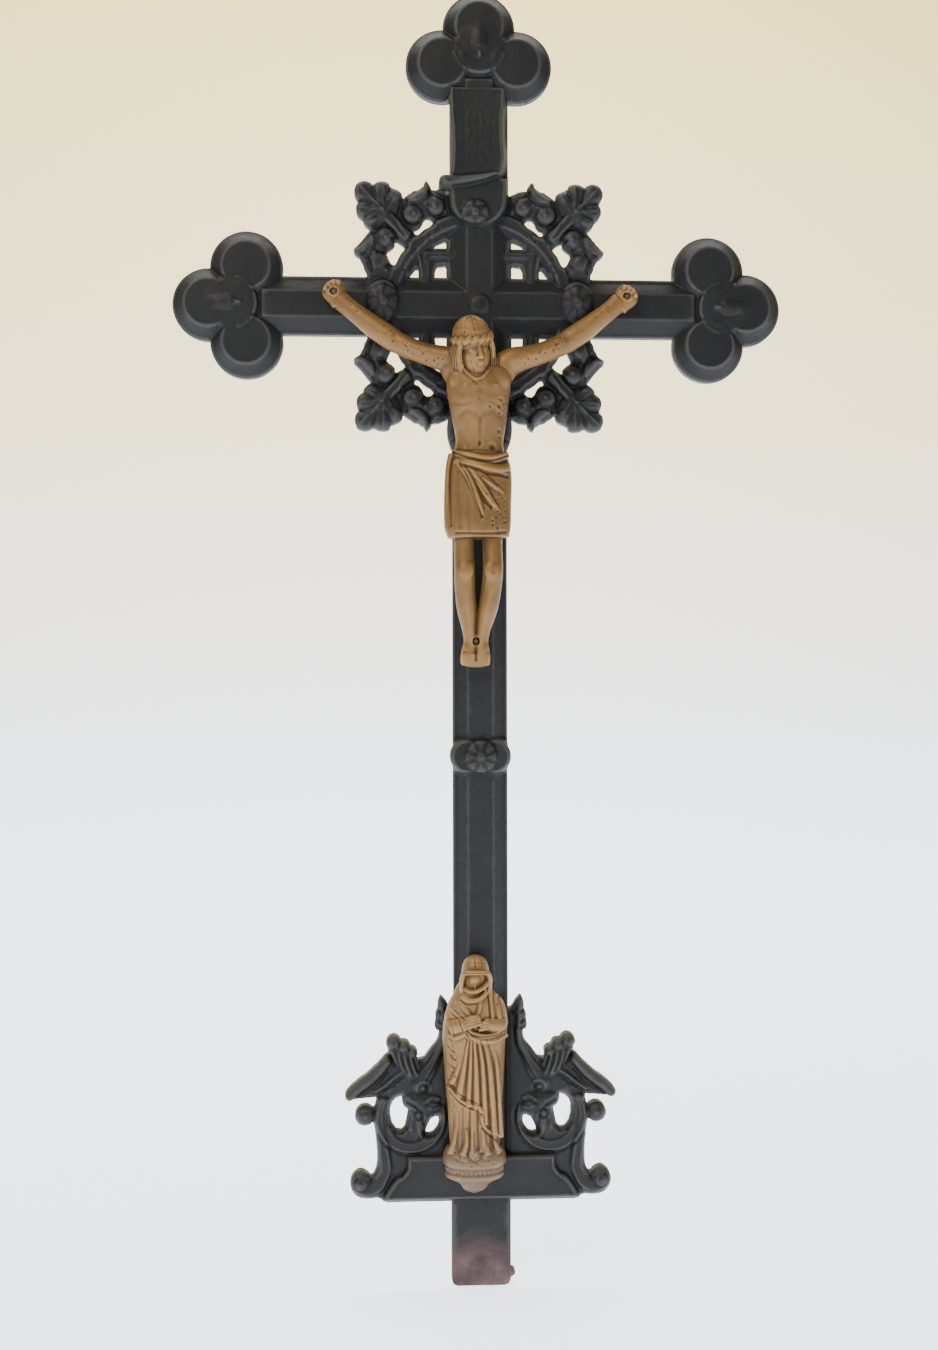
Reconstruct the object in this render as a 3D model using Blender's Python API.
"""Iron grave cross with a gilt corpus and a gilt mourner statuette.

The cross is one iron casting with a flat back. Its front looks along -Y and its tang, which is
set in a stone socket, has its foot at the origin. Every relief height is a depth measured from
the flat back towards the front. All lengths are in metres.
"""
import math

import bmesh
import bpy
import numpy as np

MM = 0.001

# Tang and shaft
TANG_WIDTH = 54.5 * MM
TANG_THICKNESS = 12.0 * MM
TANG_LENGTH = 78.6 * MM
TANG_CORNER = 5.5 * MM
SHAFT_BELOW_CROSSING = 825.5 * MM
SHAFT_WIDTH = 50.5 * MM
ARM_WIDTH = 54.0 * MM
FACE_WIDTH = 23.5 * MM
LIP_WIDTH = 3.0 * MM
LIP_DEPTH = 8.0 * MM
FACE_DEPTH = 17.0 * MM

# Trefoil ends
ARM_REACH = 213.8 * MM
TOP_REACH = 222.8 * MM
LOBE_OFFSET = 34.2 * MM
LOBE_RADIUS = 33.3 * MM
LOBE_BAND = 10.5 * MM
LOBE_DEPTH = 19.0 * MM
PLAQUE_RADIUS = 17.5 * MM
PLAQUE_OFFSET = 13.0 * MM
PLAQUE_DEPTH = 22.0 * MM
BUD_LENGTH = 34.0 * MM
BUD_WIDTH = 23.0 * MM
BUD_DEPTH = 28.0 * MM

# Ring, frame and collars round the crossing
RING_RADIUS = 90.0 * MM
RING_WIDTH = 17.0 * MM
RING_DEPTH = 12.5 * MM
FRAME_HALF = 48.0 * MM
FRAME_BAR = 6.5 * MM
FRAME_DEPTH = 9.5 * MM
COLLAR_WIDTH = 28.0 * MM
COLLAR_HEIGHT = 38.0 * MM
COLLAR_DEPTH = 25.0 * MM
ROUNDEL_RADIUS = 26.0 * MM
ROUNDEL_DEPTH = 19.5 * MM
ROUNDEL_FLOWER = 13.0 * MM
ROUNDEL_FLOWER_DEPTH = 26.0 * MM
LOWER_ROUNDEL_STANDOFF = 23.0 * MM
LOWER_ROUNDEL_WIDTH = 60.0 * MM
LOWER_ROUNDEL_HEIGHT = 74.0 * MM
LOWER_ROUNDEL_DEPTH = 15.0 * MM
CENTRE_BOSS = 10.0 * MM
CENTRE_BOSS_DEPTH = 21.0 * MM
MID_COLLAR_DROP = 415.0 * MM
MID_COLLAR_WIDTH = 56.0 * MM
MID_COLLAR_HEIGHT = 33.0 * MM
MID_COLLAR_DEPTH = 20.0 * MM
MID_ROSETTE = 15.3 * MM
MID_ROSETTE_DEPTH = 26.0 * MM

# Vine leaf corners, each drawn in units of the leaf's own size
LEAF_STANDOFF = 40.0 * MM
LEAF_SIZE = 24.0 * MM
LEAF_EDGE_DEPTH = 9.0 * MM
LEAF_CREST_DEPTH = 15.5 * MM
STEM_WIDTH = 10.0 * MM

# Scroll over the head
SCROLL_RISE = 154.0 * MM
SCROLL_HEIGHT = 74.0 * MM
SCROLL_WIDTH = 46.0 * MM
SCROLL_DEPTH = 20.5 * MM
SCROLL_ROLL = 4.3 * MM

# Base plate and its ornaments, drawn in millimetres of the ornament's own width
PLATE_WIDTH = 184.6 * MM
PLATE_SHOULDER = 11.0 * MM
PLATE_CORNER = 5.5 * MM
PLATE_RISE = 41.5 * MM
PLATE_TOP_WIDTH = 132.0 * MM
PLATE_EDGE_DEPTH = 12.0 * MM
ORNAMENT_REACH = 124.0 * MM
ORNAMENT_EDGE_DEPTH = 9.0 * MM
ORNAMENT_CREST_DEPTH = 15.5 * MM

# Figures, each drawn in units of its own height
CORPUS_HEIGHT = 323.5 * MM
MOURNER_HEIGHT = 222.8 * MM
MOURNER_RISE = 4.6 * MM
MOURNER_SHIFT = -3.2 * MM
FIT_GAP = 0.3 * MM

# Nails
NAIL_HEAD = 3.3 * MM
NAIL_HEAD_HEIGHT = 2.0 * MM
NAIL_SHANK = 1.4 * MM
NAIL_BITE = 9.0 * MM
NAIL_CLEARANCE = 0.4 * MM

# Fineness of the facets
ROUND_SIDES = 22
SMALL_SIDES = 12
FIGURE_VOXEL = 1.5 * MM
CROSS_KEEP = 0.43
CORPUS_KEEP = 0.027
MOURNER_KEEP = 0.042

BACK = TANG_THICKNESS / 2
CROSSING_Z = TANG_LENGTH + SHAFT_BELOW_CROSSING
SINK = 5.0 * MM
SETTLE_RANGE = 0.5 * MM
FIGURE_BACK = FACE_DEPTH + FIT_GAP


def clear_scene():
    for item in list(bpy.data.objects):
        bpy.data.objects.remove(item, do_unlink=True)


def shell(bm, loops, tip=None):
    """Closed skin through equal loops of points, with flat ends or a fan to one tip point."""
    rings = [[bm.verts.new(point) for point in loop] for loop in loops]
    faces = []
    count = len(rings[0])
    for low, high in zip(rings, rings[1:]):
        for i in range(count):
            j = (i + 1) % count
            faces.append(bm.faces.new((low[i], low[j], high[j], high[i])))
    faces.append(bm.faces.new(rings[0][::-1]))
    if tip is None:
        faces.append(bm.faces.new(rings[-1]))
    else:
        peak = bm.verts.new(tip)
        for i in range(count):
            faces.append(bm.faces.new((rings[-1][i], rings[-1][(i + 1) % count], peak)))
    bmesh.ops.recalc_face_normals(bm, faces=faces)


def level(outline, depth):
    """The outline's (x, z) points laid at one depth in front of the flat back."""
    return [(x, BACK - depth, z) for x, z in outline]


def circle(centre, radius_x, radius_z, sides):
    turns = np.linspace(0, 2 * math.pi, sides, endpoint=False)
    return [(centre[0] + radius_x * math.cos(a), centre[1] + radius_z * math.sin(a)) for a in turns]


def disc(bm, centre, steps, sides=ROUND_SIDES, stretch=1.0):
    """A turned form standing on the back: steps are (radius, depth) from the rim to the middle."""
    loops = [level(circle(centre, steps[0][0], steps[0][0] * stretch, sides), -SINK)]
    loops += [level(circle(centre, r, r * stretch, sides), depth) for r, depth in steps]
    shell(bm, loops)


def dome(bm, centre, radius, foot, top, sides=SMALL_SIDES, stretch=1.0, rings=3):
    """A rounded boss: a straight wall up to the foot depth, then a quarter ellipse to the top."""
    loops = [level(circle(centre, radius, radius * stretch, sides), -SINK)]
    for k in range(rings):
        a = k / rings * math.pi / 2
        r = radius * math.cos(a)
        loops.append(level(circle(centre, r, r * stretch, sides), foot + (top - foot) * math.sin(a)))
    shell(bm, loops, tip=(centre[0], BACK - top, centre[1]))


def bar(bm, start, end, half_width):
    """A straight arm with a flat face, two sloped sides and a thin outer lip."""
    along = np.subtract(end, start)
    side = np.array([-along[1], along[0]]) / np.hypot(*along)
    section = [(half_width, -SINK), (half_width, LIP_DEPTH), (half_width - LIP_WIDTH, LIP_DEPTH),
               (FACE_WIDTH / 2, FACE_DEPTH)]
    section += [(-offset, depth) for offset, depth in reversed(section)]
    loops = []
    for point in (start, end):
        loops.append([(point[0] + side[0] * o, BACK - d, point[1] + side[1] * o) for o, d in section])
    shell(bm, loops)


def strap(bm, path, half_widths, edge, crest):
    """A rounded band along an (x, z) path; its middle line stands at the crest depth."""
    path = np.asarray(path, float)
    ahead = np.gradient(path, axis=0)
    ahead /= np.linalg.norm(ahead, axis=1)[:, None]
    side = np.stack([-ahead[:, 1], ahead[:, 0]], axis=1)
    shoulder = edge + 0.75 * (crest - edge)
    section = [(1, -SINK), (1, edge), (0.6, shoulder), (0, crest), (-0.6, shoulder), (-1, edge), (-1, -SINK)]
    loops = []
    for point, normal, half in zip(path, side, half_widths):
        loops.append([(point[0] + normal[0] * half * o, BACK - d, point[1] + normal[1] * half * o)
                      for o, d in section])
    shell(bm, loops)


def smooth_path(points, steps):
    """Points of a Catmull-Rom curve through the given points; extra columns are carried along."""
    points = np.asarray(points, float)
    padded = np.vstack([2 * points[0] - points[1], points, 2 * points[-1] - points[-2]])
    out = []
    for i in range(len(points) - 1):
        a, b, c, d = padded[i:i + 4]
        for t in np.linspace(0, 1, steps, endpoint=False):
            out.append(0.5 * (2 * b + (c - a) * t + (2 * a - 5 * b + 4 * c - d) * t ** 2
                              + (3 * b - a - 3 * c + d) * t ** 3))
    out.append(points[-1])
    return np.array(out)


def leaf_reach(angles, lobes):
    """Distance of a lobed leaf's edge from its middle; a lobe is (degrees, offset, radius) round a
    circle, or (degrees, reach, 0) for a pointed tip."""
    reach = np.full(len(angles), 0.2)
    for degrees, offset, radius in lobes:
        turn = (angles - math.radians(degrees) + math.pi) % (2 * math.pi) - math.pi
        if radius > 0:
            inside = radius ** 2 - (offset * np.sin(turn)) ** 2
            far = offset * np.cos(turn) + np.sqrt(np.maximum(inside, 0))
            reach = np.maximum(reach, np.where((inside > 0) & (np.cos(turn) > -0.2), far, 0))
        else:
            far = offset / (np.cos(turn) + 3.2 * np.abs(np.sin(turn)))
            reach = np.maximum(reach, np.where(np.abs(turn) < 1.2, far, 0))
    return reach


def leaf(bm, centre, size, lobes, flip=(1, 1), sides=36, edge=LEAF_EDGE_DEPTH, crest=LEAF_CREST_DEPTH):
    """A cast leaf: lobes stand up from a sunken middle and drop to a thin edge."""
    angles = np.linspace(0, 2 * math.pi, sides, endpoint=False)
    reach = leaf_reach(angles, lobes)
    rise = (reach - reach.min()) / (np.ptp(reach) + 1e-9)
    x = centre[0] + flip[0] * size * reach * np.cos(angles)
    z = centre[1] + flip[1] * size * reach * np.sin(angles)
    outer = list(zip(x, z))
    ridge = [(centre[0] + 0.66 * (px - centre[0]), BACK - edge - (crest - edge) * (0.35 + 0.65 * lift),
              centre[1] + 0.66 * (pz - centre[1])) for px, pz, lift in zip(x, z, rise)]
    middle = (centre[0], BACK - edge - 0.45 * (crest - edge), centre[1])
    shell(bm, [level(outer, -SINK), level(outer, edge), ridge], tip=middle)


def trefoil(bm, centre, outward):
    """Three turned lobes, a small scalloped plaque and a bud that points at the arm."""
    out = np.array(outward, float)
    side = np.array([-out[1], out[0]])
    steps = [(LOBE_RADIUS, LIP_DEPTH), (LOBE_RADIUS - LIP_WIDTH / 2, LIP_DEPTH),
             (LOBE_RADIUS - LIP_WIDTH / 2 - LOBE_BAND, LOBE_DEPTH)]
    for way in (out, side, -side):
        disc(bm, centre + way * LOBE_OFFSET, steps)
    for way, share in ((-0.1 * out, 1.0), (side, 0.72), (-side, 0.72)):
        radius = PLAQUE_RADIUS * share
        plaque = [(radius, LOBE_DEPTH), (radius - LIP_WIDTH / 2, PLAQUE_DEPTH)]
        disc(bm, centre + way * PLAQUE_OFFSET, plaque, sides=SMALL_SIDES)
    stretch = BUD_LENGTH / BUD_WIDTH
    across = out[1] ** 2
    radius = BUD_WIDTH / 2 * (1 if across else stretch)
    dome(bm, centre + out * LOBE_OFFSET * 0.62, radius, PLAQUE_DEPTH * 0.8, BUD_DEPTH,
         stretch=stretch if across else 1 / stretch)


def ring_and_frame(bm, centre):
    """The pierced work: a round band and a square frame, both centred on the crossing."""
    sides = 2 * ROUND_SIDES - 4
    inner = RING_RADIUS - RING_WIDTH
    bead = RING_WIDTH * 0.2
    profile = [(inner, -SINK), (inner, FRAME_DEPTH), (inner + bead, RING_DEPTH),
               (RING_RADIUS - bead, RING_DEPTH), (RING_RADIUS, FRAME_DEPTH), (RING_RADIUS, -SINK)]
    rows = [[bm.verts.new(p) for p in level(circle(centre, r, r, sides), depth)] for r, depth in profile]
    faces = []
    for low, high in zip(rows, rows[1:] + rows[:1]):
        for i in range(sides):
            j = (i + 1) % sides
            faces.append(bm.faces.new((low[i], low[j], high[j], high[i])))
    bmesh.ops.recalc_face_normals(bm, faces=faces)
    half = FRAME_BAR / 2
    reach = FRAME_HALF + half
    for sign in (-1, 1):
        upright = [(centre[0] + sign * FRAME_HALF + a * half, centre[1] + b * reach)
                   for a, b in ((-1, -1), (1, -1), (1, 1), (-1, 1))]
        level_bar = [(centre[0] + a * reach, centre[1] + sign * FRAME_HALF + b * half)
                     for a, b in ((-1, -1), (1, -1), (1, 1), (-1, 1))]
        shell(bm, [level(upright, -SINK), level(upright, FRAME_DEPTH)])
        shell(bm, [level(level_bar, -SINK * 1.2), level(level_bar, FRAME_DEPTH - FIT_GAP)])


VINE_LEAF = [(135, 0.58, 0.46), (88, 0.60, 0.40), (182, 0.60, 0.40), (45, 0.56, 0.36), (225, 0.56, 0.36),
             (315, 0.35, 0.45)]
# Outline of the barbed leaf beside the arm, as shares of the corner leaf's place on each axis
BARBED_LEAF = [(1.28, 0.56), (1.19, 0.51), (1.15, 0.35), (1.13, 0.24), (0.90, 0.24), (0.92, 0.45),
               (0.91, 0.57), (0.85, 0.66), (0.93, 0.80), (1.07, 0.76), (1.14, 0.68), (1.20, 0.61)]
BUDS = [(0.68, 0.88, 0.36), (0.45, 0.97, 0.34)]


def crowned_slab(bm, outline, middle, edge, crest, share=0.62):
    """A slab with a thin edge whose middle is crowned; the outline is seen whole from the middle."""
    inner = [(middle[0] + share * (x - middle[0]), middle[1] + share * (z - middle[1])) for x, z in outline]
    shell(bm, [level(outline, -SINK), level(outline, edge), level(inner, edge + 0.7 * (crest - edge))],
          tip=(middle[0], BACK - crest, middle[1]))


def corner_ornament(bm, centre, flip):
    """A vine leaf on the diagonal, its stem to the ring, and a barbed leaf and buds to each arm."""
    size = LEAF_SIZE
    place = (RING_RADIUS + LEAF_STANDOFF) / math.sqrt(2)

    def at(x, z):
        return (centre[0] + flip[0] * x, centre[1] + flip[1] * z)

    leaf(bm, at(-place, place), size, VINE_LEAF, flip, sides=26)
    ring_mid = (RING_RADIUS - RING_WIDTH / 2) / math.sqrt(2)
    strap(bm, [at(-place, place), at(-(place + ring_mid) / 2, (place + ring_mid) / 2),
               at(-ring_mid, ring_mid)],
          [STEM_WIDTH * 0.8, STEM_WIDTH * 0.55, STEM_WIDTH * 0.7], LEAF_EDGE_DEPTH, RING_DEPTH)
    for swap in (False, True):
        points = [(-a * place, b * place) for a, b in BARBED_LEAF]
        points[3] = (points[3][0], ARM_WIDTH / 2 - LIP_WIDTH)
        points[4] = (points[4][0], ARM_WIDTH / 2 - LIP_WIDTH)
        middle = (-1.03 * place, 0.55 * place)
        if swap:
            points = [(-z, -x) for x, z in points]
            middle = (-middle[1], -middle[0])
        crowned_slab(bm, [at(*p) for p in points], at(*middle), LEAF_EDGE_DEPTH, LEAF_CREST_DEPTH)
        for a, b, share in BUDS:
            x, z = (-a * place, b * place) if swap else (-b * place, a * place)
            dome(bm, at(x, z), size * share, LEAF_EDGE_DEPTH, LEAF_CREST_DEPTH, sides=9, rings=2)


def collars(bm, centre):
    """Side collars, upper and lower roundels, the boss at the crossing and the collar at mid shaft."""
    place = RING_RADIUS - RING_WIDTH * 0.1
    for sign in (-1, 1):
        spot = (centre[0] + sign * place, centre[1])
        band = [(spot[0] + a * COLLAR_WIDTH / 2, spot[1] + b * (ARM_WIDTH / 2 + FIT_GAP))
                for a, b in ((-1, -1), (1, -1), (1, 1), (-1, 1))]
        shell(bm, [level(band, -SINK * 1.1), level(band, LIP_DEPTH * 1.3)])
        dome(bm, spot, COLLAR_WIDTH / 2, FACE_DEPTH, COLLAR_DEPTH, sides=14,
             stretch=COLLAR_HEIGHT / COLLAR_WIDTH)
    upper = (centre[0], centre[1] + place)
    disc(bm, upper, [(ROUNDEL_RADIUS, ROUNDEL_DEPTH - LIP_WIDTH / 2),
                     (ROUNDEL_RADIUS - LIP_WIDTH, ROUNDEL_DEPTH)], sides=20)
    dome(bm, upper, ROUNDEL_FLOWER, ROUNDEL_DEPTH, ROUNDEL_FLOWER_DEPTH)
    lower = (centre[0], centre[1] - RING_RADIUS - LOWER_ROUNDEL_STANDOFF)
    wide = LOWER_ROUNDEL_WIDTH / 2
    disc(bm, lower, [(wide, LOWER_ROUNDEL_DEPTH - LIP_WIDTH), (wide - LIP_WIDTH, LOWER_ROUNDEL_DEPTH)],
         sides=18, stretch=LOWER_ROUNDEL_HEIGHT / LOWER_ROUNDEL_WIDTH)
    dome(bm, centre, CENTRE_BOSS, FACE_DEPTH, CENTRE_BOSS_DEPTH, sides=12)
    spot = (centre[0], centre[1] - MID_COLLAR_DROP)
    tall = MID_COLLAR_HEIGHT / 2
    straight = MID_COLLAR_WIDTH / 2 - tall
    ends = np.linspace(-math.pi / 2, math.pi / 2, 7)
    rim = [(spot[0] + straight + tall * math.cos(a), spot[1] + tall * math.sin(a)) for a in ends]
    rim += [(spot[0] - straight - tall * math.cos(a), spot[1] - tall * math.sin(a)) for a in ends]
    keep = 1 - 2 * LIP_WIDTH / MID_COLLAR_HEIGHT
    inner = [(spot[0] + (x - spot[0]) * keep, spot[1] + (z - spot[1]) * keep) for x, z in rim]
    shell(bm, [level(rim, -SINK), level(rim, MID_COLLAR_DEPTH - LIP_WIDTH), level(inner, MID_COLLAR_DEPTH)])
    dome(bm, spot, MID_ROSETTE, MID_COLLAR_DEPTH, MID_ROSETTE_DEPTH, sides=14)


def head_scroll(bm, centre):
    """The scroll over the head: a gently waisted sheet with its lower edge rolled to a tube."""
    middle = centre[1] + SCROLL_RISE
    rows = np.linspace(-0.5, 0.5, 7)
    left = [(-SCROLL_WIDTH / 2 * (1.0 + 0.25 * v), middle + SCROLL_HEIGHT * v) for v in rows]
    right = [(SCROLL_WIDTH / 2 * (1.0 - 0.12 * math.cos(2.6 * v)), middle + SCROLL_HEIGHT * v) for v in rows]
    rim = [(centre[0] + x, z) for x, z in right] + [(centre[0] + x, z) for x, z in reversed(left)]
    shell(bm, [level(rim, -SINK * 0.8), level(rim, SCROLL_DEPTH)])
    foot = middle - SCROLL_HEIGHT / 2
    roll = SCROLL_ROLL
    start = np.array([centre[0] - SCROLL_WIDTH * 0.70, foot - roll])
    end = np.array([centre[0] + SCROLL_WIDTH * 0.36, foot + roll * 0.9])
    path = [start + (end - start) * t for t in np.linspace(0, 1, 5)]
    strap(bm, path, np.array([1.35, 1.05, 1.0, 0.9, 0.7]) * roll, FACE_DEPTH, SCROLL_DEPTH + roll)


BEAST = [(24, 172), (34, 172), (38, 158), (43, 142), (52, 133), (62, 131), (82, 139), (102, 124),
         (123, 105), (124, 97), (110, 98), (94, 99), (84, 101), (76, 104), (66, 100), (60, 94), (57, 84),
         (46, 83), (38, 80), (24, 76)]
ACANTHUS = [(105, 0.66, 0.30), (60, 0.62, 0.30), (15, 0.60, 0.30), (150, 0.60, 0.30), (250, 0.45, 0.42),
            (310, 0.5, 0.38)]
CREST_LEAF = [(90, 1.0, 0.0), (62, 0.74, 0.22), (118, 0.74, 0.22), (150, 0.42, 0.26), (200, 0.45, 0.26),
              (250, 0.75, 0.22), (290, 0.75, 0.22), (20, 0.42, 0.26), (340, 0.45, 0.26)]


def base(bm, side_sign):
    """One half of the base ornament, drawn for a reach of 124 and scaled to its real reach."""
    unit = ORNAMENT_REACH / 124.0
    edge = ORNAMENT_EDGE_DEPTH
    crest = ORNAMENT_CREST_DEPTH
    bead = edge * 0.2

    def at(x, z):
        return (side_sign * -x * unit, TANG_LENGTH + z * unit)

    def band(points, steps, low=edge, high=crest):
        curve = smooth_path(points, steps)
        strap(bm, [at(x, z) for x, z, _ in curve], curve[:, 2] * unit, low, high)

    band([(89, 102, 6), (92, 80, 8), (89, 52, 9), (85, 32, 10), (90, 17, 9.5), (101, 13, 8), (111, 19, 7.5)], 2)
    dome(bm, at(111, 20.5), 9.3 * unit, edge, crest + bead, sides=12, rings=2)
    dome(bm, at(106, 83.5), 8.6 * unit, edge, crest + bead, sides=12, rings=2)
    band([(106, 83, 3.5), (92, 82, 4.5)], 1, edge - bead, crest - bead)
    turns = np.linspace(0, 2 * math.pi, 19)
    curve = [(62 + 29.2 * math.cos(a), 79.5 + 29.2 * math.sin(a)) for a in turns]
    for arc in (curve[:10], curve[9:]):
        strap(bm, [at(x, z) for x, z in arc], np.full(len(arc), 5.2 * unit), edge, crest - bead)
    band([(58, 98, 6), (60, 82, 7.5), (61, 66, 6), (61.5, 53, 3)], 2, edge, crest + bead)
    outline = [at(*p) for p in BEAST]
    shell(bm, [level(outline, -SINK), level(outline, edge + bead)])
    band([(122, 101, 3.6), (108, 113, 5.5), (94, 124, 5.5), (80, 134, 4.5)], 2, edge, crest)
    band([(66, 112, 6), (54, 118, 10), (43, 130, 9), (37, 144, 6.5), (35, 160, 4), (35, 170, 3)], 2, edge, crest)
    band([(66, 98, 3.5), (53, 104, 6), (41, 98, 7), (32, 88, 5)], 2, edge, crest + 2 * bead)
    dome(bm, at(51, 106), 5 * unit, crest, crest + 2 * bead, sides=10, rings=2)
    for k in range(3):
        band([(84 - 9 * k, 108 + 4 * k, 2.2), (98 - 7 * k, 105 + 5 * k, 2.0)], 1, edge, crest - 2 * bead)
    leaf(bm, at(71, 143.5), 15.5 * unit, ACANTHUS, (-side_sign, 1), sides=22, edge=edge, crest=crest + bead)
    leaf(bm, at(36.5, 176), 17 * unit, CREST_LEAF, (-side_sign * 0.42, 1), sides=20, edge=edge, crest=crest)
    web = [at(x, z) for x, z in ((94, 6), (30, 6), (30, 56), (44, 52), (62, 49), (78, 52), (90, 44), (97, 26))]
    shell(bm, [level(web, -SINK), level(web, edge + bead)])


def base_plate(bm):
    """The plate that closes the foot of the cross, with a raised field flush with the shaft's face."""
    wide = PLATE_WIDTH / 2
    foot = TANG_LENGTH
    corner = PLATE_CORNER
    top = foot + PLATE_SHOULDER
    rim = [(-wide + corner, foot), (wide - corner, foot), (wide - corner * 0.3, foot + corner * 0.3),
           (wide, foot + corner), (wide, top), (-wide, top), (-wide, foot + corner),
           (-wide + corner * 0.3, foot + corner * 0.3)]
    shell(bm, [level(rim, -SINK), level(rim, PLATE_EDGE_DEPTH)])
    high = foot + PLATE_RISE
    narrow = PLATE_TOP_WIDTH / 2
    waist = (wide + narrow) / 2
    half = [(wide - LIP_WIDTH, foot + LIP_WIDTH), (wide - LIP_WIDTH * 2, top), (waist, foot + PLATE_RISE * 0.66),
            (narrow, foot + PLATE_RISE * 0.85), (narrow, high)]
    field = half + [(-x, z) for x, z in reversed(half)]
    shell(bm, [level(field, -SINK * 1.3), level(field, FACE_DEPTH)])


def tang(bm):
    wide = TANG_WIDTH / 2
    turns = np.linspace(0, math.pi / 2, 4)
    right = [(wide - TANG_CORNER + TANG_CORNER * math.sin(a), TANG_CORNER - TANG_CORNER * math.cos(a))
             for a in turns]
    rim = right + [(wide, TANG_LENGTH + PLATE_SHOULDER / 2), (-wide, TANG_LENGTH + PLATE_SHOULDER / 2)]
    rim += [(-x, z) for x, z in reversed(right)]
    shell(bm, [level(rim, -SINK), level(rim, TANG_THICKNESS)])


def limb(bm, stations, origin, unit, sides=14, steps=3, folds=(0, 0, 0)):
    """A rounded body through stations of (x, z, depth, half width, half depth), drawn in the
    figure's own units. Folds are (count, height, turn) of a wave round the section."""
    rows = smooth_path(stations, steps)
    ahead = np.gradient(rows[:, :2], axis=0)
    ahead /= np.linalg.norm(ahead, axis=1)[:, None]
    side = np.stack([ahead[:, 1], -ahead[:, 0]], axis=1)
    turns = np.linspace(0, 2 * math.pi, sides, endpoint=False)
    wave = 1 + folds[1] * np.cos(folds[0] * turns + folds[2])
    loops = []
    for (x, z, depth, wide, deep), normal in zip(rows, side):
        across = wide * np.cos(turns) * wave
        out = depth + deep * np.sin(turns) * wave
        loops.append([(origin[0] + unit * (x + normal[0] * a), BACK - FIGURE_BACK - unit * d,
                       origin[1] + unit * (z + normal[1] * a)) for a, d in zip(across, out)])
    shell(bm, loops)


def mirror_stations(stations, middle):
    return [(2 * middle - x, z, depth, wide, deep) for x, z, depth, wide, deep in stations]


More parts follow.
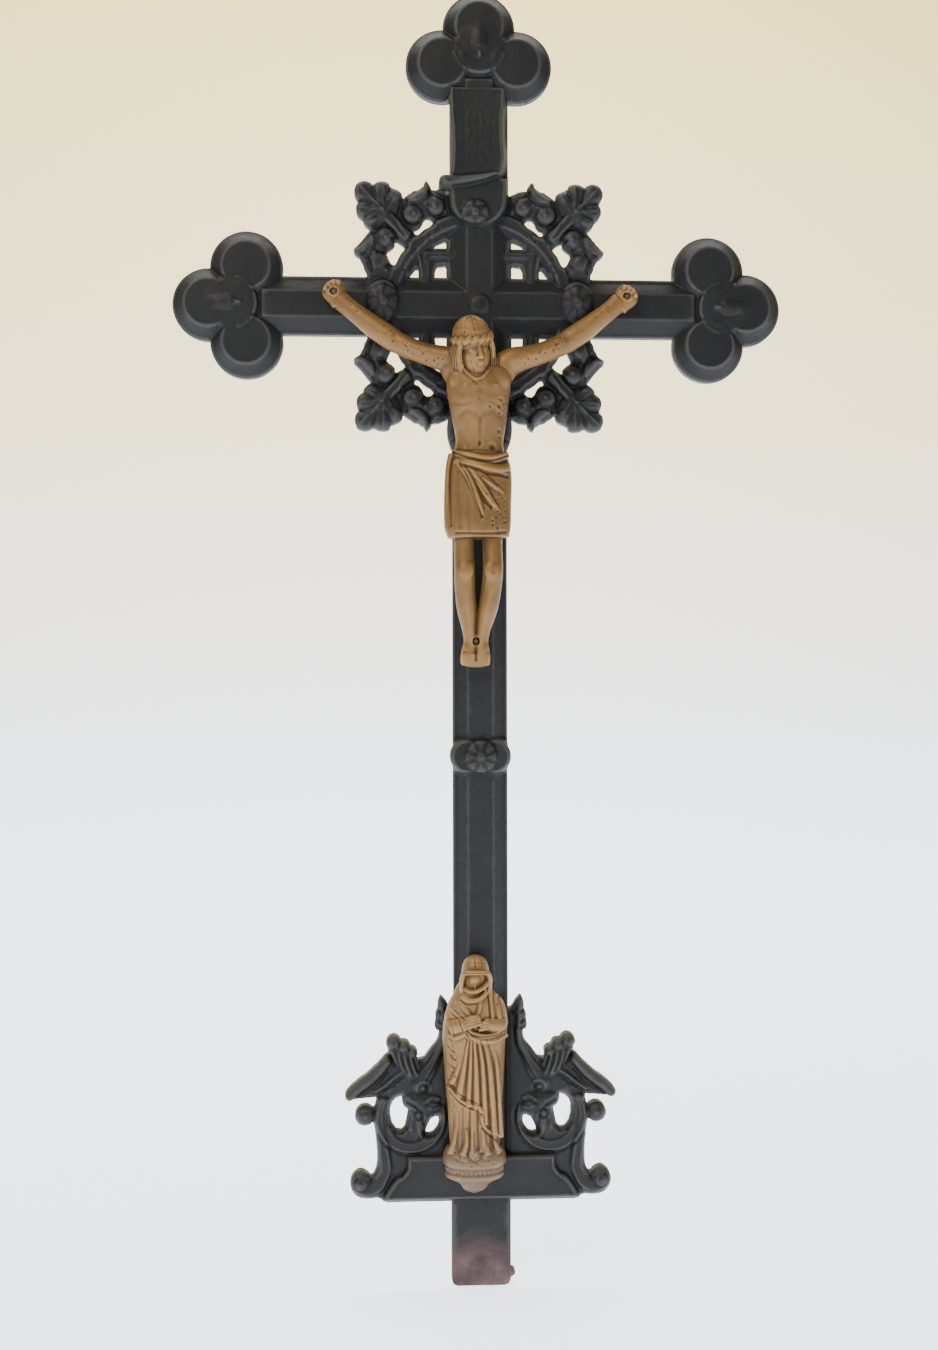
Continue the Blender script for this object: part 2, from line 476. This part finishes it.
def build_corpus(bm):
    """The figure on the cross, drawn 323.5 units tall about the crossing; its arms rise to the nails."""
    unit = CORPUS_HEIGHT / 323.5
    at = ((0, CROSSING_Z), unit)
    limb(bm, [(-4, -44, 27, 9, 9), (-3, -54, 22, 14, 12), (-2, -60, 19, 26, 14), (-2, -66, 19, 29, 17),
              (-2.6, -80, 20, 29, 19), (-2.2, -96, 19, 27, 18), (-1.4, -114, 17, 24, 15.5),
              (-1.6, -130, 16, 21.8, 14), (-2, -144, 16, 24, 14.5)], *at, sides=20)
    limb(bm, [(-2, -139, 16, 25, 15), (-2.3, -149, 17, 28.6, 17.5), (-2.3, -165, 18, 30, 18.5),
              (-3.2, -187, 19, 30.3, 18.5), (-3.2, -205, 20, 29.8, 18), (-3, -216.5, 20, 28, 17)],
         *at, sides=30, folds=(7, 0.035, 0.6))
    limb(bm, [(-25, -142, 24, 4, 5), (-5, -151, 33, 4, 4), (24, -147, 26, 4, 5)], *at)
    limb(bm, [(-26, -145, 24, 3, 4), (-10, -163, 35, 4, 4.5), (8, -188, 37, 4, 4)], *at)
    limb(bm, [(-24, -152, 24, 3, 4), (-14, -180, 35, 3.6, 4), (-4, -206, 35, 3, 4)], *at)
    limb(bm, [(24, -152, 26, 3, 4), (12, -168, 35, 3.6, 4), (-4, -172, 36, 3, 3)], *at)
    left_leg = [(-15.2, -208, 18, 10, 11), (-15.4, -229, 20.5, 9.6, 10.5), (-14.7, -248, 23, 9.6, 10.5),
                (-13.9, -263.5, 20, 9.2, 10), (-11.6, -280, 16, 8.2, 9), (-10.2, -298.6, 12.5, 6.6, 7.6),
                (-9.7, -310, 10.5, 6.4, 7), (-10.6, -318, 9.5, 7.4, 7.5), (-11.5, -327, 9, 8, 6.5),
                (-11.6, -333.2, 8, 7, 4.5)]
    right_leg = [(8.8, -208, 18, 9.6, 11), (8.8, -229, 20.5, 9.4, 10.5), (8.8, -248, 23.5, 9.8, 10.5),
                 (6.5, -263.5, 20.5, 9.2, 10), (3.7, -280, 17, 8.4, 9), (0.9, -298.6, 13.5, 6.8, 7.6),
                 (0, -310, 12, 6.4, 7), (0.5, -318, 11, 7.2, 7.5), (1, -327, 10, 7.8, 6.5),
                 (0.8, -333.2, 9, 7, 4.5)]
    limb(bm, left_leg, *at)
    limb(bm, right_leg, *at)
    left_arm = [(-20, -60, 19, 12, 13), (-30, -53.5, 19, 12.2, 12.5), (-40, -50, 18, 10.8, 11),
                (-54, -46.5, 16, 9.2, 9.5), (-75, -39.8, 13, 9, 9), (-97.5, -27.7, 10.5, 8, 8),
                (-118.8, -10.2, 8, 6.2, 6.5), (-128.5, 0.5, 6.5, 6, 5.5)]
    limb(bm, left_arm, *at, sides=12)
    limb(bm, mirror_stations(left_arm, -0.4), *at, sides=12)
    for sign, wrist, lean in ((-1, (-128.5, 0.5), 118), (1, (128.5, -0.5), 52)):
        ahead = math.radians(lean)
        palm = [(wrist[0] + math.cos(ahead) * t, wrist[1] + math.sin(ahead) * t, 6.5, wide, deep)
                for t, wide, deep in ((-2, 6.5, 5.5), (5, 9.5, 6), (11, 11, 6), (15, 9.5, 5))]
        limb(bm, palm, *at, sides=12, steps=2)
        for k in range(4):
            turn = ahead + math.radians(26 - 17 * k) * sign
            tip = 21.5 - 1.2 * abs(k - 1.5)
            finger = [(wrist[0] + math.cos(turn) * t, wrist[1] + math.sin(turn) * t, depth, 2.7, 3)
                      for t, depth in ((9, 7), (16, 10), (tip, 10.5), (tip + 0.5, 7))]
            limb(bm, finger, *at, sides=8, steps=2)
        thumb = ahead - math.radians(75) * sign
        limb(bm, [(wrist[0] + math.cos(ahead) * 6, wrist[1] + math.sin(ahead) * 6, 8, 3, 3),
                  (wrist[0] + math.cos(ahead) * 8 + math.cos(thumb) * 9,
                   wrist[1] + math.sin(ahead) * 8 + math.sin(thumb) * 9, 10, 2.8, 3)], *at, sides=8)
    limb(bm, [(-11.2, -13.4, 30, 6, 7), (-10.6, -17, 30, 12.5, 13), (-9.3, -25, 30, 17, 17.5),
              (-7.6, -36, 31, 17.4, 18), (-5.6, -47, 33, 14.6, 16), (-3.2, -57, 35, 9.5, 12),
              (-1.6, -64, 36, 4, 7)], *at, sides=16)
    limb(bm, [(-7.8, -37, 44, 2.4, 3), (-6.4, -46, 48, 3.4, 4)], *at, sides=8)
    for stations in ([(-24, -22, 28, 4, 6), (-27, -34, 29, 5, 7), (-27, -48, 30, 5, 6.5),
                      (-25, -60, 29, 4.6, 6), (-21, -70, 29, 3.5, 5)],
                     [(6, -24, 28, 4, 6), (9.5, -36, 29, 5, 7), (10.5, -50, 30, 5, 6.5),
                      (9.5, -61, 29, 4.6, 6), (7, -71, 29, 3.5, 5)],
                     [(-26, -27, 30, 3, 5), (-10, -31, 46, 3, 4), (9, -27, 31, 3, 5)]):
        limb(bm, stations, *at, sides=10)


def build_mourner(bm):
    """The robed statuette on its console, drawn 222.8 units tall from the console's tip."""
    unit = MOURNER_HEIGHT / 222.8
    at = ((MOURNER_SHIFT, TANG_LENGTH + MOURNER_RISE), unit)
    limb(bm, [(0, 0.3, 3, 4, 4), (0.3, 4.6, 5, 10.5, 7), (0.6, 11, 6, 15.5, 11), (0.4, 13.4, 7, 20, 14),
              (0, 15, 7, 25.5, 18), (0, 23, 8, 28.6, 20.5), (0, 23.6, 8, 26.6, 19), (0, 29.6, 8, 26.8, 19.2),
              (0, 30.2, 8, 29.2, 21.5), (0, 36, 8, 29.6, 22), (0, 38.5, 8, 28.6, 21), (0, 44, 8, 25.5, 18.5)],
         *at, sides=20, steps=1)
    limb(bm, [(0, 41, 10, 22, 17.5), (0.2, 54.5, 10, 23.6, 18), (0, 78.6, 10, 24.8, 18),
              (-0.7, 101.7, 10, 26.6, 19), (-0.9, 124.8, 10, 28, 20), (-1.2, 147.9, 11, 29, 21),
              (0.3, 160, 11, 29.6, 21), (0, 171, 11, 28.2, 20), (-2, 180.3, 11, 24, 19),
              (-2, 189.5, 12, 18, 16), (-0.5, 195, 14, 14.6, 15), (0, 203.4, 14, 13.4, 15),
              (0, 212.6, 14, 12, 14), (0, 219, 13, 8.5, 11), (0, 222.2, 12, 3, 5)],
         *at, sides=36, folds=(9, 0.03, 0.4))
    limb(bm, [(-1, 188, 22, 5, 5), (-0.8, 192, 23, 8, 8), (-0.5, 199, 23, 9.2, 9), (-0.4, 205, 22, 8.5, 8)],
         *at, sides=12)
    limb(bm, [(-13, 184, 18, 3, 5), (-12.4, 196, 22, 2.6, 4), (-9.6, 206, 25, 2.6, 4), (0, 209, 27, 2.6, 4),
              (9.6, 206, 25, 2.6, 4), (12, 196, 22, 2.6, 4), (12, 186, 19, 3, 5)], *at, sides=8)
    limb(bm, [(-12, 187, 24, 3, 4), (-1, 183, 29, 3.4, 4), (10, 190, 24, 3, 4)], *at, sides=8)
    limb(bm, [(-24, 152, 22, 8, 8), (-13, 160, 28, 7, 7), (-3, 166, 32, 6, 6)], *at, sides=10)
    limb(bm, [(26, 154, 22, 8, 8), (14, 160, 28, 7, 7), (2, 165, 32, 6, 6)], *at, sides=10)
    limb(bm, [(-9, 165, 33, 5, 5), (0, 167, 35, 6.5, 5.5), (9, 166, 33, 4.5, 4.5)], *at, sides=10)
    limb(bm, [(-12, 156, 27, 3.6, 5), (8, 149, 31, 4, 5), (27, 152, 24, 4, 5)], *at, sides=8)
    limb(bm, [(-25, 104, 22, 2.4, 4), (-13, 90, 27, 2.4, 4), (2, 85, 28, 2.4, 4), (8, 68, 27, 2.4, 4),
              (24, 54, 20, 2.4, 4)], *at, sides=8)
    for x, lean in ((-14, -2), (-6, -1), (3, 3), (12, 7), (19, 8)):
        limb(bm, [(x * 0.5, 150, 30, 2.4, 4), (x * 0.85, 120, 28.5, 3, 4), (x + lean, 88, 25, 3, 4)],
             *at, sides=8)
    for x in (-12, -3, 7, 15):
        limb(bm, [(x, 84, 25, 2.6, 4), (x * 1.05, 62, 25.5, 3, 4), (x * 1.1, 44, 26, 3.4, 4.5)], *at, sides=8)
    limb(bm, [(-7, 43, 24, 4, 4), (-2, 42.5, 29, 5, 4)], *at, sides=8)


def nail_places():
    """Middle (x, z) of each nail, the depth of its seat above the figure's back and its sides."""
    unit = CORPUS_HEIGHT / 323.5
    return {
        "nail_left_hand": (-133.5 * unit, CROSSING_Z + 8.5 * unit, 8.5 * unit, SMALL_SIDES),
        "nail_right_hand": (134.5 * unit, CROSSING_Z + 7.0 * unit, 8.5 * unit, SMALL_SIDES),
        "nail_feet": (-5.0 * unit, CROSSING_Z - 309.5 * unit, 12.5 * unit, 4),
    }


def build_nail(bm, place):
    """A headed nail: its head sits in a shallow seat and its shank ends inside the cross."""
    x, z, seat, sides = place
    head = FIGURE_BACK + seat + FIT_GAP
    outline = circle((x, z), NAIL_SHANK, NAIL_SHANK, sides)
    rim = circle((x, z), NAIL_HEAD, NAIL_HEAD, sides)
    top = circle((x, z), NAIL_HEAD * 0.6, NAIL_HEAD * 0.6, sides)
    shell(bm, [level(outline, FACE_DEPTH - NAIL_BITE), level(outline, head), level(rim, head),
               level(rim, head + NAIL_HEAD_HEIGHT * 0.5), level(top, head + NAIL_HEAD_HEIGHT)])


def nail_holes(bm):
    """Room for the three nails: a bore for each shank and a wider seat for each head."""
    for x, z, seat, _ in nail_places().values():
        seat_depth = FIGURE_BACK + seat
        bore = circle((x, z), NAIL_SHANK + NAIL_CLEARANCE, NAIL_SHANK + NAIL_CLEARANCE, SMALL_SIDES)
        wide = circle((x, z), NAIL_HEAD + NAIL_CLEARANCE, NAIL_HEAD + NAIL_CLEARANCE, SMALL_SIDES)
        shell(bm, [level(bore, FACE_DEPTH - NAIL_BITE - FIT_GAP), level(bore, seat_depth),
                   level(wide, seat_depth), level(wide, seat_depth + CORPUS_HEIGHT / 10)])


def build_cross(bm):
    centre = np.array([0.0, CROSSING_Z])
    bar(bm, (0, TANG_LENGTH + PLATE_SHOULDER), (0, CROSSING_Z), SHAFT_WIDTH / 2)
    bar(bm, (0, CROSSING_Z - ARM_WIDTH / 4), (0, CROSSING_Z + TOP_REACH), ARM_WIDTH / 2)
    bar(bm, (-ARM_REACH, CROSSING_Z), (ARM_REACH, CROSSING_Z), ARM_WIDTH / 2)
    for way, reach in (((-1, 0), ARM_REACH), ((1, 0), ARM_REACH), ((0, 1), TOP_REACH)):
        trefoil(bm, centre + np.array(way) * reach, way)
    ring_and_frame(bm, centre)
    for flip in ((1, 1), (-1, 1), (1, -1), (-1, -1)):
        corner_ornament(bm, centre, flip)
    collars(bm, centre)
    head_scroll(bm, centre)
    for side_sign in (1, -1):
        base(bm, side_sign)
    base_plate(bm)
    tang(bm)


def new_object(name, build, material=None):
    bm = bmesh.new()
    build(bm)
    mesh = bpy.data.meshes.new(name)
    bm.to_mesh(mesh)
    bm.free()
    item = bpy.data.objects.new(name, mesh)
    bpy.context.scene.collection.objects.link(item)
    if material is not None:
        mesh.materials.append(material)
    return item


def new_cutter(name, build):
    item = new_object(name, build)
    item.hide_render = True
    item.display_type = "WIRE"
    return item


def cut(item, cutter, name, self_cut=False):
    step = item.modifiers.new(name, "BOOLEAN")
    step.operation = "DIFFERENCE"
    step.solver = "EXACT"
    step.use_self = self_cut
    step.object = cutter


def thin(item, keep):
    """Thin a skin to the facets that its form needs."""
    step = item.modifiers.new("thin", "DECIMATE")
    step.ratio = keep
    return step


def thin_ornament(item, keep):
    """Thin the skin of the cross, but leave its tang, its foot and the nail bores as they are."""
    bake(item)
    clear = NAIL_HEAD + 2 * NAIL_CLEARANCE
    bores = [place[:2] for place in nail_places().values()]
    free = []
    for vertex in item.data.vertices:
        x, _, z = vertex.co
        if z > TANG_LENGTH + PLATE_SHOULDER and all(math.hypot(x - a, z - b) > clear for a, b in bores):
            free.append(vertex.index)
    group = item.vertex_groups.new(name="ornament")
    group.add(free, 1.0, "REPLACE")
    thin(item, keep).vertex_group = group.name
    bake(item, BACK)


def bake(item, back=None):
    """Apply the modifiers; points that lie next to the back's plane are laid exactly in it."""
    view = bpy.context.evaluated_depsgraph_get()
    mesh = bpy.data.meshes.new_from_object(item.evaluated_get(view))
    for vertex in mesh.vertices:
        if back is not None and abs(vertex.co.y - back) < SETTLE_RANGE:
            vertex.co.y = back
    item.modifiers.clear()
    item.data = mesh


def finish_figure(item, keep):
    """Blend the overlapping limbs to one skin, then thin it."""
    blend = item.modifiers.new("blend", "REMESH")
    blend.mode = "VOXEL"
    blend.voxel_size = FIGURE_VOXEL
    thin(item, keep)


def block(bm, depth_low, depth_high):
    """A block as wide as the whole cross, between two depths; it trims a flat back."""
    reach = ARM_REACH + LOBE_OFFSET + LOBE_RADIUS + RING_RADIUS
    top = CROSSING_Z + TOP_REACH + LOBE_OFFSET + LOBE_RADIUS + RING_RADIUS
    rim = [(-reach, -RING_RADIUS), (reach, -RING_RADIUS), (reach, top), (-reach, top)]
    shell(bm, [level(rim, depth_low), level(rim, depth_high)])


def cross_cutter(bm):
    """What is cut from the cross: all that lies behind its back, and the nail bores."""
    block(bm, -RING_RADIUS, 0)
    nail_holes(bm)


def figure_cutter(bm):
    """All that lies behind the figures' flat back."""
    block(bm, -RING_RADIUS, FIGURE_BACK)


def paint(name, colour, metallic, roughness):
    material = bpy.data.materials.new(name)
    material.use_nodes = True
    shader = material.node_tree.nodes["Principled BSDF"]
    shader.inputs["Base Color"].default_value = (*colour, 1)
    shader.inputs["Metallic"].default_value = metallic
    shader.inputs["Roughness"].default_value = roughness
    return material


def main():
    clear_scene()
    black = paint("black_painted_iron", (0.022, 0.023, 0.024), 0.0, 0.5)
    gilt = paint("gilt_paint", (0.30, 0.19, 0.09), 0.5, 0.5)
    pale_gilt = paint("pale_gilt_paint", (0.42, 0.29, 0.14), 0.5, 0.5)
    dark = paint("nail_iron", (0.10, 0.06, 0.035), 0.3, 0.6)
    cross_trim = new_cutter("cross_trim", cross_cutter)
    figure_trim = new_cutter("figure_trim", figure_cutter)
    holes = new_cutter("nail_room", nail_holes)
    cross = new_object("iron_cross", build_cross, black)
    cut(cross, cross_trim, "back_and_bores", self_cut=True)
    cross.modifiers.new("split", "TRIANGULATE")
    thin_ornament(cross, CROSS_KEEP)
    corpus = new_object("corpus", build_corpus, gilt)
    finish_figure(corpus, CORPUS_KEEP)
    cut(corpus, figure_trim, "flat_back")
    cut(corpus, holes, "nail_bores")
    mourner = new_object("mourner_statuette", build_mourner, pale_gilt)
    finish_figure(mourner, MOURNER_KEEP)
    cut(mourner, figure_trim, "flat_back")
    for name, place in nail_places().items():
        new_object(name, lambda bm, place=place: build_nail(bm, place), dark)


main()
